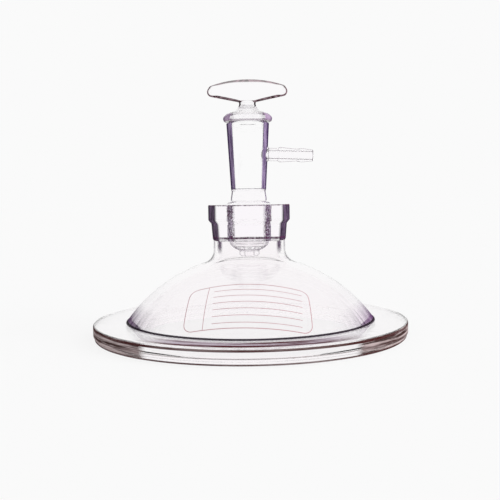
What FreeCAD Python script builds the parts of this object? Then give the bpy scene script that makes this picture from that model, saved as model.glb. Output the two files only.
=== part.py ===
"""Lid of a vacuum desiccator, 150 mm size, in clear borosilicate glass.

Three pieces come apart on a bench: the lid, a valve that sits in the lid's
ground socket, and the hollow plug that turns in the valve. Each of them is
made from glass blanks sealed together in a flame, and each blank is a
sub-part here.

    lid      lid_flange, lid_dome, neck_socket
    valve    joint_cone, valve_barrel, hose_nipple
    plug     plug_cone, plug_handle

Frame: millimetres, +Z up along the axis of the lid, origin at the centre of
the ground underside of the flange. The hose nipple points along +X, and the
handle lies in the XZ plane, in line with the plug's port.
"""

import FreeCAD, Part
import math
import os
import Sketcher

# ---------------------------------------------------------------- sizes

SIZES = {
    # flange: a heavy ring, ground flat underneath
    "rim_radius": 105.0,
    "rim_height": 10.0,
    "rim_round": 1.2,
    "skirt_radius": 104.1,      # the lower edge is ground back a little
    "skirt_height": 2.4,
    "skirt_bevel": 0.5,
    "mouth_radius": 75.0,       # half of the nominal 150 mm
    "mouth_bevel": 0.8,
    "mouth_slope": 5.0,         # height where the mouth starts to widen towards the dome
    # dome: a spherical cap that flares up into the neck
    "foot_radius": 83.0,
    "foot_fillet": 1.5,
    "cap_radius": 102.0,
    "dome_wall": 4.8,
    "flare_radius": 9.0,
    "neck_radius": 24.1,
    # socket with the ground 29/32 bore
    "socket_base": 57.0,
    "ledge_height": 63.8,
    "ledge_fillet": 1.2,
    "waist_radius": 24.6,
    "waist_top_radius": 25.4,
    "waist_top": 74.2,
    "collar_radius": 27.4,
    "collar_base": 76.6,
    "collar_top": 86.8,
    "collar_round": 0.8,
    "joint_radius": 14.6,       # of the ground bore, at the collar's top
    "joint_mouth": 0.6,
    "taper": 20.0,              # millimetres of height per millimetre of radius
    "grease_gap": 0.05,
    # the valve's ground cone and its drawn-in tip
    "cone_shoulder": 88.3,
    "cone_end": 60.6,
    "cone_end_round": 3.7,
    "cone_bore": 10.0,
    "cone_floor": 60.2,
    "tip_radius": 6.7,
    "tip_bore": 3.0,
    "tip_end": 51.2,
    "tip_top": 56.0,
    "tip_round": 2.4,
    "tip_fillet": 1.2,
    "tip_funnel": 2.0,
    "cone_bore_round": 2.6,
    "cone_neck_rise": 1.5,      # the step from the cone in to the tube
    "cone_neck_round": 2.6,
    # tube and barrel
    "tube_radius": 12.0,
    "tube_seam": 91.0,
    "tube_waist_radius": 11.3,
    "tube_waist_bore": 9.6,
    "tube_waist": 95.4,
    "barrel_base": 97.2,
    "barrel_base_radius": 11.8,
    "barrel_top": 140.9,
    "barrel_top_radius": 14.25,
    "barrel_round": 0.5,
    "seat_radius": 12.65,       # of the ground seat, at the barrel's top
    # hose nipple
    "nipple_height": 120.6,     # where its axis crosses the valve's axis
    "nipple_droop": 2.2,        # degrees below level, as it was sealed on by hand
    "nipple_bore": 2.45,
    "nipple_root_radius": 4.3,
    "nipple_flare": 1.5,
    "nipple_flare_start": 12.9,
    "barb_start": 19.6,
    "barb_crest": 22.4,
    "barb_radius": 4.95,
    "barb_end": 32.6,
    "barb_waist_radius": 4.05,
    "second_crest": 35.8,
    "second_radius": 4.6,
    "crest_half": 1.0,          # half the length of a barb's rounded crest
    "crest_round": 3.4,
    "nipple_end": 43.4,
    "nipple_end_radius": 3.8,
    "nipple_lip": 0.4,
    # hollow plug
    "plug_bore_top": 10.9,
    "plug_bore_base": 9.2,
    "plug_neck": 140.5,         # where the bore starts to widen into the shoulder
    "plug_neck_round": 6.0,
    "port_radius": 3.0,
    "shoulder_base": 141.7,
    "shoulder_radius": 16.8,
    "shoulder_bulge": 144.4,
    "shoulder_top": 147.2,
    "shoulder_top_radius": 13.8,
    "shoulder_crown": 3.4,
    "bulb_radius": 14.0,        # of the hollow inside the shoulder
    "bulb_floor": 143.9,
    "bulb_round": 1.3,
    "bulb_slope_radius": 13.2,
    "bulb_slope": 146.0,
    "bulb_roof_radius": 8.0,
    "bulb_top": 147.4,
    "cap_edge_radius": 8.3,
    "cap_edge": 149.0,
    "stem_seam": 152.0,
    "stem_foot_radius": 6.0,
    "stem_flare": 4.2,
    # handle: a flattened paddle on a short stem
    "stem_radius": 5.5,
    "stem_foot_rise": 1.0,
    "stem_foot_round": 1.4,
    "stem_top": 154.6,
    "handle_half_length": 25.0,
    "handle_end_top": 165.4,
    "handle_end_base": 159.0,
    "handle_end_round": 3.5,
    "handle_peak": 169.8,
    "handle_foot": 155.4,
    "handle_foot_half": 7.0,
    "handle_thickness": 7.2,
    "handle_edge": 2.2,
    "handle_root_top": 162.0,
    "handle_root_round": 8.0,
}

doc = FreeCAD.newDocument("desiccator_lid")
sheet = doc.addObject("Spreadsheet::Sheet", "sizes")
for row, (alias, number) in enumerate(SIZES.items(), start=1):
    sheet.set(f"A{row}", alias.replace("_", " "))
    sheet.set(f"B{row}", str(number))
    sheet.setAlias(f"B{row}", alias)
doc.recompute()


class Size:
    """A length that carries its number and the sheet formula that gives it."""

    def __init__(self, number, formula):
        self.number, self.formula = number, formula

    def __add__(self, other):
        other = size(other)
        return Size(self.number + other.number, f"({self.formula} + {other.formula})")

    def __sub__(self, other):
        other = size(other)
        return Size(self.number - other.number, f"({self.formula} - {other.formula})")

    def __mul__(self, other):
        other = size(other)
        return Size(self.number * other.number, f"({self.formula} * {other.formula})")

    def __truediv__(self, other):
        other = size(other)
        return Size(self.number / other.number, f"({self.formula} / {other.formula})")


def size(name):
    """The Size of a cell's alias, of a plain number, or a Size as it is."""
    if isinstance(name, Size):
        return name
    if isinstance(name, str):
        return Size(getattr(sheet, name), f"sizes.{name}")
    return Size(name, repr(name))


def root(square):
    """The square root of a Size."""
    return Size(math.sqrt(square.number), f"sqrt({square.formula})")


# ---------------------------------------------------------------- sketches


def plane(body, role):
    """One of the body's own origin planes or axes."""
    return next(part for part in body.Origin.OriginFeatures if part.Role == role)


def new_body(label):
    body = doc.addObject("PartDesign::Body", label)
    body.Label = label
    body.Placement = FreeCAD.Placement()
    return body


def new_sketch(body, role, name):
    sketch = body.newObject("Sketcher::SketchObject", name)
    sketch.AttachmentSupport = [(plane(body, role), "")]
    sketch.MapMode = "FlatFace"
    return sketch


def bind(sketch, constraint, name, formula):
    """Adds a named constraint and gives it its value from the sheet."""
    sketch.renameConstraint(sketch.addConstraint(constraint), name)
    sketch.setExpression(f"Constraints.{name}", formula)


def pin_point(sketch, geometry, vertex, x, y, name):
    """Holds a vertex at (x, y) in the sketch, each a Size."""
    here = (geometry, vertex)
    for kind, axis, value in (("DistanceX", -2, x), ("DistanceY", -1, y)):
        if abs(value.number) < 1e-9:
            sketch.addConstraint(Sketcher.Constraint("PointOnObject", *here, axis))
        else:
            distance = Sketcher.Constraint(kind, -1, 1, *here, value.number)
            bind(sketch, distance, f"{name}_{kind[-1].lower()}", value.formula)


def arc_between(start, end, radius, side):
    """The short arc from start to end. side is +1 if it bulges to the right of the way there."""
    chord = end - start
    right = FreeCAD.Vector(chord.y, -chord.x, 0).normalize()
    inset = math.sqrt(radius**2 - (chord.Length / 2) ** 2)
    centre = (start + end) / 2 - right * side * inset
    circle = Part.Circle(centre, FreeCAD.Vector(0, 0, 1), radius)
    first, last = (start, end) if side > 0 else (end, start)
    angles = [math.atan2(p.y - centre.y, p.x - centre.x) for p in (first, last)]
    if angles[1] < angles[0]:
        angles[1] += 2 * math.pi
    return Part.ArcOfCircle(circle, *angles)


def outline(sketch, corners):
    """Draws a closed outline whose corners are (x, y), or (x, y, radius, side) where an arc arrives.

    Every corner and every radius is bound to the sheet.
    """
    corners = [tuple(size(value) for value in corner[:3]) + corner[3:] for corner in corners]
    spots = [FreeCAD.Vector(corner[0].number, corner[1].number, 0) for corner in corners]
    starts, ends = [], []
    for index, corner in enumerate(corners):
        before, here = spots[index - 1], spots[index]
        if len(corner) == 2:
            edge = sketch.addGeometry(Part.LineSegment(before, here))
            starts.append((edge, 1))
            ends.append((edge, 2))
            continue
        edge = sketch.addGeometry(arc_between(before, here, corner[2].number, corner[3]))
        forward = corner[3] > 0
        starts.append((edge, 1 if forward else 2))
        ends.append((edge, 2 if forward else 1))
        radius = Sketcher.Constraint("Radius", edge, corner[2].number)
        bind(sketch, radius, f"radius_{index}", corner[2].formula)
    for index, corner in enumerate(corners):
        following = starts[(index + 1) % len(starts)]
        sketch.addConstraint(Sketcher.Constraint("Coincident", *ends[index], *following))
        pin_point(sketch, *ends[index], corner[0], corner[1], f"corner_{index}")


def turn(body, corners, name="profile", cut=False):
    """Turns an outline in the XZ plane once round the Z axis, to add glass or to cut it away."""
    sketch = new_sketch(body, "XZ_Plane", name)
    outline(sketch, corners)
    kind = "PartDesign::Groove" if cut else "PartDesign::Revolution"
    feature = body.newObject(kind, f"{name}_turned")
    feature.Profile = sketch
    feature.ReferenceAxis = (sketch, ["V_Axis"])
    feature.Angle = 360.0
    sketch.Visibility = False
    doc.recompute()
    return feature


def nipple_sketch(body, name):
    """A sketch in the XZ plane whose horizontal axis is the nipple's own, drooping a little."""
    sketch = new_sketch(body, "XZ_Plane", name)
    tilt = FreeCAD.Rotation(FreeCAD.Vector(0, 0, 1), -size("nipple_droop").number)
    sketch.AttachmentOffset = FreeCAD.Placement(FreeCAD.Vector(0, 0, 0), tilt)
    sketch.setExpression("AttachmentOffset.Base.y", "sizes.nipple_height")
    sketch.setExpression("AttachmentOffset.Rotation.Angle", "-sizes.nipple_droop")
    return sketch


LEAST_CUT = 1.0  # cubic millimetres that a cut has to take away


def turn_on_nipple(body, corners, name, cut=False):
    """Turns an outline (distance out, radius) once round the nipple's axis."""
    sketch = nipple_sketch(body, name)
    outline(sketch, corners)
    kind = "PartDesign::Groove" if cut else "PartDesign::Revolution"
    before = body.Shape.Volume if cut else 0.0
    feature = body.newObject(kind, f"{name}_turned")
    feature.Profile = sketch
    feature.ReferenceAxis = (sketch, ["H_Axis"])
    feature.Angle = 360.0
    doc.recompute()
    if cut and not feature.Shape.Volume < before - LEAST_CUT:
        raise RuntimeError(f"{name} cut nothing")
    return feature


def drill(body, name, radius):
    """Bores a round hole along the nipple's axis, out through the wall on the nipple's side."""
    turn_on_nipple(body, [
        (0.0, 0.0),
        ("nipple_end", 0.0),
        ("nipple_end", radius),
        (0.0, radius),
    ], name, cut=True)


# ---------------------------------------------------------------- the lid

# The cap's centre lies on the axis, below the flange. The flare is an arc that
# touches both the cap and the neck, and the inside is a constant wall away.
cap_centre = size("rim_height") - root(
    size("cap_radius") * "cap_radius" - size("foot_radius") * "foot_radius"
)
flare_x = size("neck_radius") + "flare_radius"
reach = size("cap_radius") + "flare_radius"
flare_z = cap_centre + root(reach * reach - flare_x * flare_x)
inner_cap = size("cap_radius") - "dome_wall"
inner_flare = size("flare_radius") + "dome_wall"
neck_bore = size("neck_radius") - "dome_wall"
inner_foot = root(
    inner_cap * inner_cap
    - (size("rim_height") - cap_centre) * (size("rim_height") - cap_centre)
)


def on_cap(radius):
    """The point where an arc of that radius about the cap's centre meets its flare."""
    share = radius / reach
    return flare_x * share, cap_centre + (flare_z - cap_centre) * share


def make_flange():
    """The heavy ring: rounded outside on top, ground flat and bevelled underneath."""
    body = new_body("lid_flange")
    turn(body, [
        (size("mouth_radius") + "mouth_bevel", 0.0),
        (size("skirt_radius") - "skirt_bevel", 0.0),
        ("skirt_radius", "skirt_bevel"),
        ("skirt_radius", "skirt_height"),
        ("rim_radius", size("skirt_height") + "skirt_bevel"),
        ("rim_radius", size("rim_height") - "rim_round"),
        (size("rim_radius") - "rim_round", "rim_height", "rim_round", 1),
        (inner_foot, "rim_height"),
        ("mouth_radius", "mouth_slope"),
        ("mouth_radius", "mouth_bevel"),
    ])
    return body


def make_dome():
    """The blown cap, with a small fillet at its foot and the flare at its top."""
    body = new_body("lid_dome")
    fillet = size("foot_fillet")
    # the fillet touches the flange's top and the cap from outside
    fillet_z = size("rim_height") + fillet
    away = size("cap_radius") + fillet
    fillet_x = root(away * away - (fillet_z - cap_centre) * (fillet_z - cap_centre))
    share = size("cap_radius") / away
    foot_x, foot_z = fillet_x * share, cap_centre + (fillet_z - cap_centre) * share
    turn(body, [
        (fillet_x, "rim_height"),
        (foot_x, foot_z, fillet, -1),
        (*on_cap(size("cap_radius")), "cap_radius", 1),
        ("neck_radius", flare_z, "flare_radius", -1),
        ("neck_radius", "socket_base"),
        (neck_bore, "socket_base"),
        (neck_bore, flare_z),
        (*on_cap(inner_cap), inner_flare, 1),
        (inner_foot, "rim_height", inner_cap, -1),
    ])
    return body


def joint_at(height):
    """Radius of the socket's ground bore at a height."""
    return size("joint_radius") - (size("collar_top") - height) / "taper"


def make_socket():
    """The thick socket: a collar round the ground bore, and a ledge where it meets the neck."""
    body = new_body("neck_socket")
    ledge = size("ledge_height")
    bore_end = ledge + "ledge_fillet"
    turn(body, [
        (neck_bore, "socket_base"),
        ("neck_radius", "socket_base"),
        ("neck_radius", ledge - "joint_mouth"),
        ("waist_radius", ledge),
        ("waist_top_radius", "waist_top"),
        ("collar_radius", "collar_base"),
        ("collar_radius", size("collar_top") - "collar_round"),
        (size("collar_radius") - "collar_round", "collar_top", "collar_round", 1),
        (size("joint_radius") + "joint_mouth", "collar_top"),
        (joint_at(size("collar_top") - "joint_mouth"), size("collar_top") - "joint_mouth"),
        (joint_at(bore_end), bore_end),
        (joint_at(bore_end) + "ledge_fillet", ledge, "ledge_fillet", 1),
        (neck_bore - "ledge_fillet", ledge),
        (neck_bore, ledge - "ledge_fillet", "ledge_fillet", -1),
    ])
    return body


# ---------------------------------------------------------------- the valve


def make_cone():
    """The ground cone: a grease gap inside the socket, and drawn in below to a short open tip."""
    body = new_body("joint_cone")
    gap = size("grease_gap")
    end, rounding = size("cone_end"), size("cone_end_round")
    shoulder, bore_round = size("cone_shoulder"), size("cone_bore_round")
    turn(body, [
        ("tip_bore", "tip_end"),
        (size("tip_radius") - "tip_round", "tip_end"),
        ("tip_radius", size("tip_end") + "tip_round", "tip_round", 1),
        ("tip_radius", size("tip_top") - "tip_fillet"),
        (size("tip_radius") + "tip_fillet", "tip_top", "tip_fillet", -1),
        (joint_at(end) - gap - rounding, end - rounding),
        (joint_at(end) - gap, end, rounding, 1),
        (joint_at(shoulder) - gap, shoulder),
        ("tube_radius", shoulder + "cone_neck_rise", "cone_neck_round", 1),
        ("tube_radius", "tube_seam"),
        ("cone_bore", "tube_seam"),
        ("cone_bore", size("cone_floor") + bore_round),
        (size("cone_bore") - bore_round, "cone_floor", bore_round, -1),
        ("tip_bore", size("cone_floor") - "tip_funnel"),
    ])
    return body


def seat_at(height):
    """Radius of the barrel's ground seat at a height."""
    return size("seat_radius") - (size("barrel_top") - height) / "taper"


def make_barrel():
    """The tapered barrel on its short tube, bored for the nipple."""
    body = new_body("valve_barrel")
    top = size("barrel_top")
    turn(body, [
        ("cone_bore", "tube_seam"),
        ("tube_radius", "tube_seam"),
        ("tube_waist_radius", "tube_waist"),
        ("barrel_base_radius", "barrel_base"),
        ("barrel_top_radius", top - "barrel_round"),
        (size("barrel_top_radius") - "barrel_round", top, "barrel_round", 1),
        ("seat_radius", top),
        (seat_at(size("barrel_base")), "barrel_base"),
        ("tube_waist_bore", "tube_waist"),
    ])
    drill(body, "nipple_way", "nipple_bore")
    return body


def crest(middle, radius):
    """The two corners of a barb's rounded crest, from its outer end in to the barrel's side."""
    half, rounding = size("crest_half"), size("crest_round")
    foot = size(radius) - rounding + root(rounding * rounding - half * half)
    return [(size(middle) + half, foot), (size(middle) - half, foot, rounding, 1)]


def make_nipple():
    """The hose nipple: a short tube with two soft barbs, seated on the barrel's wall."""
    body = new_body("hose_nipple")
    root_radius, flare = size("nipple_root_radius"), size("nipple_flare")
    turn_on_nipple(body, [
        (0.0, "nipple_bore"),
        ("nipple_end", "nipple_bore"),
        ("nipple_end", size("nipple_end_radius") - "nipple_lip"),
        (size("nipple_end") - "nipple_lip", "nipple_end_radius", "nipple_lip", 1),
        *crest("second_crest", "second_radius"),
        ("barb_end", "barb_waist_radius"),
        *crest("barb_crest", "barb_radius"),
        ("barb_start", root_radius),
        (size("nipple_flare_start") + flare, root_radius),
        ("nipple_flare_start", root_radius + flare, flare, -1),
        (0.0, root_radius + flare),
    ], "nipple_profile")
    # the barrel's outer cone, taken away so that the root sits on the barrel's wall
    rise = size("barrel_top") - "barrel_round" - "barrel_base"
    lean = (size("barrel_top_radius") - "barrel_base_radius") / rise
    beyond = (root_radius + flare) * 2.0
    low, high = size("nipple_height") - beyond, size("nipple_height") + beyond
    turn(body, [
        (0.0, low),
        (size("barrel_base_radius") + (low - "barrel_base") * lean, low),
        (size("barrel_base_radius") + (high - "barrel_base") * lean, high),
        (0.0, high),
    ], name="barrel_wall", cut=True)
    return body


# ---------------------------------------------------------------- the plug


def make_plug():
    """The hollow plug: ground outside, open below, closed above by a bulged shoulder."""
    body = new_body("plug_cone")
    gap = size("grease_gap")
    base, top = size("barrel_base"), size("shoulder_base")
    lower_round = size("shoulder_bulge") - top
    turn(body, [
        ("plug_bore_base", base),
        (seat_at(base) - gap, base),
        (seat_at(top) - gap, top),
        (size("shoulder_radius") - lower_round, top),
        ("shoulder_radius", "shoulder_bulge", lower_round, 1),
        ("shoulder_top_radius", "shoulder_top", "shoulder_crown", 1),
        ("cap_edge_radius", "cap_edge"),
        ("stem_foot_radius", "stem_seam", "stem_flare", -1),
        (0.0, "stem_seam"),
        (0.0, "bulb_top"),
        ("bulb_roof_radius", "bulb_top"),
        ("bulb_slope_radius", "bulb_slope"),
        ("bulb_radius", "bulb_floor", "bulb_round", -1),
        ("plug_bore_top", "plug_neck", "plug_neck_round", 1),
    ])
    drill(body, "port", "port_radius")
    return body


def make_handle():
    """The T handle: a short stem pressed out at the top into a flat paddle."""
    body = new_body("plug_handle")
    sketch = new_sketch(body, "XZ_Plane", "paddle_outline")
    half = size("handle_half_length")
    drop = size("handle_peak") - "handle_end_top"
    crown = (half * half + drop * drop) / (drop * 2.0)
    left = size(0.0) - half
    outline(sketch, [
        (size(0.0) - "handle_foot_half", "handle_foot"),
        ("handle_foot_half", "handle_foot"),
        (half, "handle_end_base"),
        (half, "handle_end_top", "handle_end_round", 1),
        (left, "handle_end_top", crown, 1),
        (left, "handle_end_base", "handle_end_round", 1),
    ])
    pad = body.newObject("PartDesign::Pad", "paddle")
    pad.Profile = sketch
    pad.Type = "Length"
    pad.Midplane = True
    pad.setExpression("Length", "sizes.handle_thickness")
    doc.recompute()
    rounded = body.newObject("PartDesign::Fillet", "paddle_edges")
    edges = [f"Edge{number}" for number, edge in enumerate(pad.Shape.Edges, start=1)
             if edge.BoundBox.YLength < 1e-6]
    rounded.Base = (pad, edges)
    rounded.setExpression("Radius", "sizes.handle_edge")
    doc.recompute()
    turn(body, [
        (0.0, "stem_seam"),
        ("stem_foot_radius", "stem_seam"),
        ("stem_radius", size("stem_seam") + "stem_foot_rise", "stem_foot_round", -1),
        ("stem_radius", "stem_top"),
        (0.0, "handle_root_top", "handle_root_round", 1),
    ], name="stem")
    return body


# ---------------------------------------------------------------- build and write

SUB_PARTS = [
    make_flange(),
    make_dome(),
    make_socket(),
    make_cone(),
    make_barrel(),
    make_nipple(),
    make_plug(),
    make_handle(),
]
doc.recompute()

for thing in doc.Objects:
    if "Invalid" in thing.State or "Error" in thing.State:
        raise RuntimeError(f"{thing.Label} did not build: {thing.State}")
for part in SUB_PARTS:
    if part.Shape.isNull() or not part.Shape.isValid() or len(part.Shape.Solids) != 1:
        raise RuntimeError(f"{part.Label} is not one valid solid")

os.makedirs("parts", exist_ok=True)
for part in SUB_PARTS:
    part.Shape.exportStep(f"parts/{part.Label}.step")
    print(f"{part.Label}: {part.Shape.Volume / 1000:.1f} cm3")
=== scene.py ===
# %% [markdown]
# # A vacuum desiccator's glass lid
# The real thing is three pieces of clear borosilicate glass that are held together by nothing but
# greased tapers: a heavy domed lid, a valve standing in the lid's socket, and a hollow plug that
# turns in the valve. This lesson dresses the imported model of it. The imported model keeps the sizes
# and the joints; here each piece becomes one unbroken skin of glass, because light bends only where
# glass meets air, and a face between two blanks that are fused on the real piece would show.

import math
from types import SimpleNamespace

import bpy
import numpy as np
from mathutils import Matrix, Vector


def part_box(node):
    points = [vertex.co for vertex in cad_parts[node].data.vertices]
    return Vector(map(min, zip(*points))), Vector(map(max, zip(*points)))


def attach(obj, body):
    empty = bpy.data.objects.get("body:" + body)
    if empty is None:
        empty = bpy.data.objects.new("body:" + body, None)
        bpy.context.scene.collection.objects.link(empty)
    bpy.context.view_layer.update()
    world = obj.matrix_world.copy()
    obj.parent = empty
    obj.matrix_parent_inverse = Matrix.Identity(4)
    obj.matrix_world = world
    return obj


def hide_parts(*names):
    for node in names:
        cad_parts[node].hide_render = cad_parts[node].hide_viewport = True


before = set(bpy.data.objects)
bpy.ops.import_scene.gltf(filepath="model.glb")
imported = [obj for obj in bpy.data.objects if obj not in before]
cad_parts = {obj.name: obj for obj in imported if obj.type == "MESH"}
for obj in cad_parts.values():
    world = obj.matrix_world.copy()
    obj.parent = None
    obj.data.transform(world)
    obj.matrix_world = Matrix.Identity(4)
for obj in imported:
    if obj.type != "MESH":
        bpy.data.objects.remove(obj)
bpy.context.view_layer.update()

# %% [markdown]
# ## Sizes
# Lengths are in millimetres until a mesh is made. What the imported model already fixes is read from
# its nodes, so that the skins stay where the solids are. The rest, such as wall thicknesses and the
# small roundings of fire-polished edges, is named beside the piece that it belongs to.

# %% Sizes read from the nodes
MM = 0.001


def extent(node):
    """A node's reach along X and Y and its lowest and highest point, in millimetres."""
    low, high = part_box(node)
    return [round(value / MM, 2) for value in (high.x, high.y, low.z, high.z)]


RIM_RADIUS, _, _, RIM_HEIGHT = extent("lid_flange")
COLLAR_RADIUS, _, _, COLLAR_TOP = extent("neck_socket")
_, _, TIP_END, TUBE_SEAM = extent("joint_cone")
BARREL_RADIUS, _, _, BARREL_TOP = extent("valve_barrel")
SHOULDER_RADIUS, _, PLUG_BASE, STEM_SEAM = extent("plug_cone")
HANDLE_HALF, HANDLE_HALF_DEPTH, _, HANDLE_TOP = extent("plug_handle")
print("rim", RIM_RADIUS, RIM_HEIGHT, "collar", COLLAR_RADIUS, COLLAR_TOP, "handle", HANDLE_HALF, HANDLE_TOP)

# %% [markdown]
# ## The camera
# It stands half a metre away and looks a little down on the lid, slightly rolled, as a hand-held
# shot would be. A 53 mm lens on a 36 mm sensor gives the mild perspective of the flange's ellipse.

# %% The camera
CAMERA_DISTANCE = 500.0
CAMERA_HEIGHT = 91.7
CAMERA_DIP = 4.08
CAMERA_ROLL = -0.84
LENS = 53.35
SENSOR_WIDTH = 36.0
FRAME_SHIFT = 0.001
NEAR_CLIP = 0.01

camera = bpy.data.objects.new("camera", bpy.data.cameras.new("camera"))
bpy.context.scene.collection.objects.link(camera)
camera.data.lens = LENS
camera.data.sensor_width = SENSOR_WIDTH
camera.data.clip_start = NEAR_CLIP
camera.data.shift_x = FRAME_SHIFT
camera.location = (0, -CAMERA_DISTANCE * MM, CAMERA_HEIGHT * MM)
tilted = Matrix.Rotation(math.radians(90 - CAMERA_DIP), 3, "X")
rolled = Matrix.Rotation(math.radians(CAMERA_ROLL), 3, "Z")
camera.rotation_euler = (tilted @ rolled).to_euler()
bpy.context.scene.camera = camera
print("camera at", tuple(round(value, 3) for value in camera.location))

# %% [markdown]
# ## Outlines
# Glass like this is turned on a lathe while it is soft, so nearly every form is an outline carried
# once round an axis. An outline is a list of corners (radius, height, rounding). A rounding of zero
# keeps the corner, which is also how the points of a long curve are given. Beside each rounding
# stands one more point, so that smooth shading doesn't bend the flat stretch next to it.

# %% Outline helpers
ON_AXIS = 0.01        # radius at which an outline starts or ends on its axis
GUARD = 0.12          # from the end of a rounding to the point beside it
ROUNDING_STEP = 12.0  # degrees between the points of a rounding
CURVE_STEP = 1.5      # degrees between the points of a long curve


def arc(centre, radius, start, end, step=CURVE_STEP):
    """Corners along a circle: centre + radius times (cos, sin) of the angle from start to end, in degrees."""
    angles = np.radians(np.linspace(start, end, max(2, round(abs(end - start) / step) + 1)))
    points = np.array(centre) + radius * np.column_stack([np.cos(angles), np.sin(angles)])
    return [(x, y, 0.0) for x, y in points]


def angles_from(centre, *points):
    """Angles in degrees of points seen from a centre."""
    return [math.degrees(math.atan2(point[1] - centre[1], point[0] - centre[0])) for point in points]


def rounded(corner, before, after, rounding):
    """The arc that touches both sides of a corner, which it meets at rounding times tan(turn / 2) from it."""
    ways = [(point - corner) / np.linalg.norm(point - corner) for point in (before, after)]
    half = math.acos(np.clip(ways[0] @ ways[1], -1, 1)) / 2
    away = rounding / math.tan(half)
    centre = corner + (ways[0] + ways[1]) / np.linalg.norm(ways[0] + ways[1]) * rounding / math.sin(half)
    start, end = (corner + way * away for way in ways)
    first, last = angles_from(centre, start, end)
    sweep = (last - first + 180) % 360 - 180
    steps = max(3, round(abs(sweep) / ROUNDING_STEP) + 1)
    angles = np.radians(first + np.linspace(0, sweep, steps))
    curve = centre + rounding * np.column_stack([np.cos(angles), np.sin(angles)])
    return np.vstack([start + ways[0] * GUARD, curve, end + ways[1] * GUARD])


def outline(corners, closed=True):
    """All points of an outline, as an array of (radius, height), with its corners rounded."""
    places = np.array([corner[:2] for corner in corners], float)
    rows = []
    for index, corner in enumerate(corners):
        if corner[2] == 0 or (not closed and index in (0, len(corners) - 1)):
            rows.append(places[index][None])
        else:
            following = places[(index + 1) % len(corners)]
            rows.append(rounded(places[index], places[index - 1], following, corner[2]))
    return np.vstack(rows)


def turned(profile, columns):
    """A grid of rings: each point (r, z) of the profile becomes (r cos t, r sin t, z) for t once round."""
    turn = np.linspace(0, 2 * math.pi, columns, endpoint=False)
    radius, height = profile[:, :1], profile[:, 1:]
    return np.stack([radius * np.cos(turn), radius * np.sin(turn), height + 0 * turn], axis=-1)


print("a rounding takes a point every", ROUNDING_STEP, "degrees, a long curve every", CURVE_STEP)

# %% [markdown]
# ## From a grid to a mesh
# The grid's rows are rings. Each cell between two rings becomes one four-sided face. A ring profile
# that comes back to its start closes on itself like a tyre; one that starts and ends on the axis is
# closed with a fan at each pole. The sign of the enclosed volume says whether the faces look out.

# %% Grid to mesh
def grid_mesh(name, grid, closed):
    """A mesh over a grid [ring, column, xyz] in millimetres, with every face pointing outwards."""
    rings, columns = grid.shape[:2]
    points = grid.reshape(-1, 3)
    ring = np.arange(rings if closed else rings - 1)[:, None]
    column = np.arange(columns)[None, :]
    above, beside = (ring + 1) % rings, (column + 1) % columns
    faces = [(ring, column), (ring, beside), (above, beside), (above, column)]
    faces = [row * columns + place for row, place in faces]
    quads = np.stack(np.broadcast_arrays(*faces), axis=-1).reshape(-1, 4)
    triangles = np.empty((0, 3), int)
    if not closed:
        poles = grid[[0, -1]].mean(axis=1)
        low, high = len(points), len(points) + 1
        points = np.vstack([points, poles])
        spin, following = column[0], beside[0]
        top = (rings - 1) * columns
        first_fan = np.column_stack([following, spin, np.full(columns, low)])
        last_fan = np.column_stack([top + spin, top + following, np.full(columns, high)])
        triangles = np.vstack([first_fan, last_fan])
    halves = np.vstack([quads[:, [0, 1, 2]], quads[:, [0, 2, 3]], triangles])
    a, b, c = (points[halves[:, corner]] for corner in range(3))
    volume = np.einsum("ij,ij->i", a, np.cross(b, c)).sum() / 6
    if volume < 0:
        quads, triangles = quads[:, ::-1], triangles[:, ::-1]
    mesh = bpy.data.meshes.new(name)
    mesh.from_pydata((points * MM).tolist(), [], quads.tolist() + triangles.tolist())
    return mesh


print("grids become meshes in metres, at", MM, "to the millimetre")

# %% [markdown]
# ## From a mesh to a piece
# A piece's object stays at the origin, with its place in its mesh. Where two forms are fused in the
# flame, an exact boolean makes one skin of them, with no face left inside the glass.

# %% Pieces
SHARP = 32.0  # degrees between two faces past which their edge is shaded as a corner


def new_piece(name, mesh):
    """An object at the origin that shows a mesh, shaded smooth except across sharp edges."""
    mesh.polygons.foreach_set("use_smooth", np.ones(len(mesh.polygons), bool))
    mesh.set_sharp_from_angle(angle=math.radians(SHARP))
    piece = bpy.data.objects.new(name, mesh)
    bpy.context.scene.collection.objects.link(piece)
    print(f"{name}: {len(mesh.polygons)} faces")
    return piece


def grid_piece(name, grid, closed=False):
    """A piece with the mesh of a grid."""
    return new_piece(name, grid_mesh(name, grid, closed))


def join_glass(piece, tool, operation):
    """Unites a piece with a tool, or takes the tool's shape out of it, and throws the tool away."""
    cut = piece.modifiers.new("join", "BOOLEAN")
    cut.operation, cut.object, cut.solver = operation, tool, "EXACT"
    shown = piece.evaluated_get(bpy.context.evaluated_depsgraph_get())
    mesh = bpy.data.meshes.new_from_object(shown)
    piece.modifiers.clear()
    piece.data = mesh
    piece.data.set_sharp_from_angle(angle=math.radians(SHARP))
    bpy.data.objects.remove(tool)
    print(f"{piece.name} after {operation.lower()}: {len(mesh.polygons)} faces")


print("edges of more than", SHARP, "degrees are shaded as corners")

# %% [markdown]
# ## The lid
# A gather of glass is pressed into the flange ring, the dome is blown as a ball-shaped cap above
# it, and a thick socket is fused on top. The ring's underside and the socket's bore are ground. The
# inside of the dome runs a constant wall away from the outside, so both are circles about one centre.

# %% The dome's circles
CAP_RADIUS = 102.0
FOOT_RADIUS = 83.0
DOME_WALL = 4.8
FLARE_RADIUS = 9.0
FLARE_STEP = 9.0
NECK_RADIUS = 24.1

cap_centre = np.array([0.0, RIM_HEIGHT - math.sqrt(CAP_RADIUS**2 - FOOT_RADIUS**2)])
flare_x = NECK_RADIUS + FLARE_RADIUS
flare_z = cap_centre[1] + math.sqrt((CAP_RADIUS + FLARE_RADIUS) ** 2 - flare_x**2)
flare_centre = np.array([flare_x, flare_z])
flare_angle = math.degrees(math.atan2(flare_z - cap_centre[1], flare_x))


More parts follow.
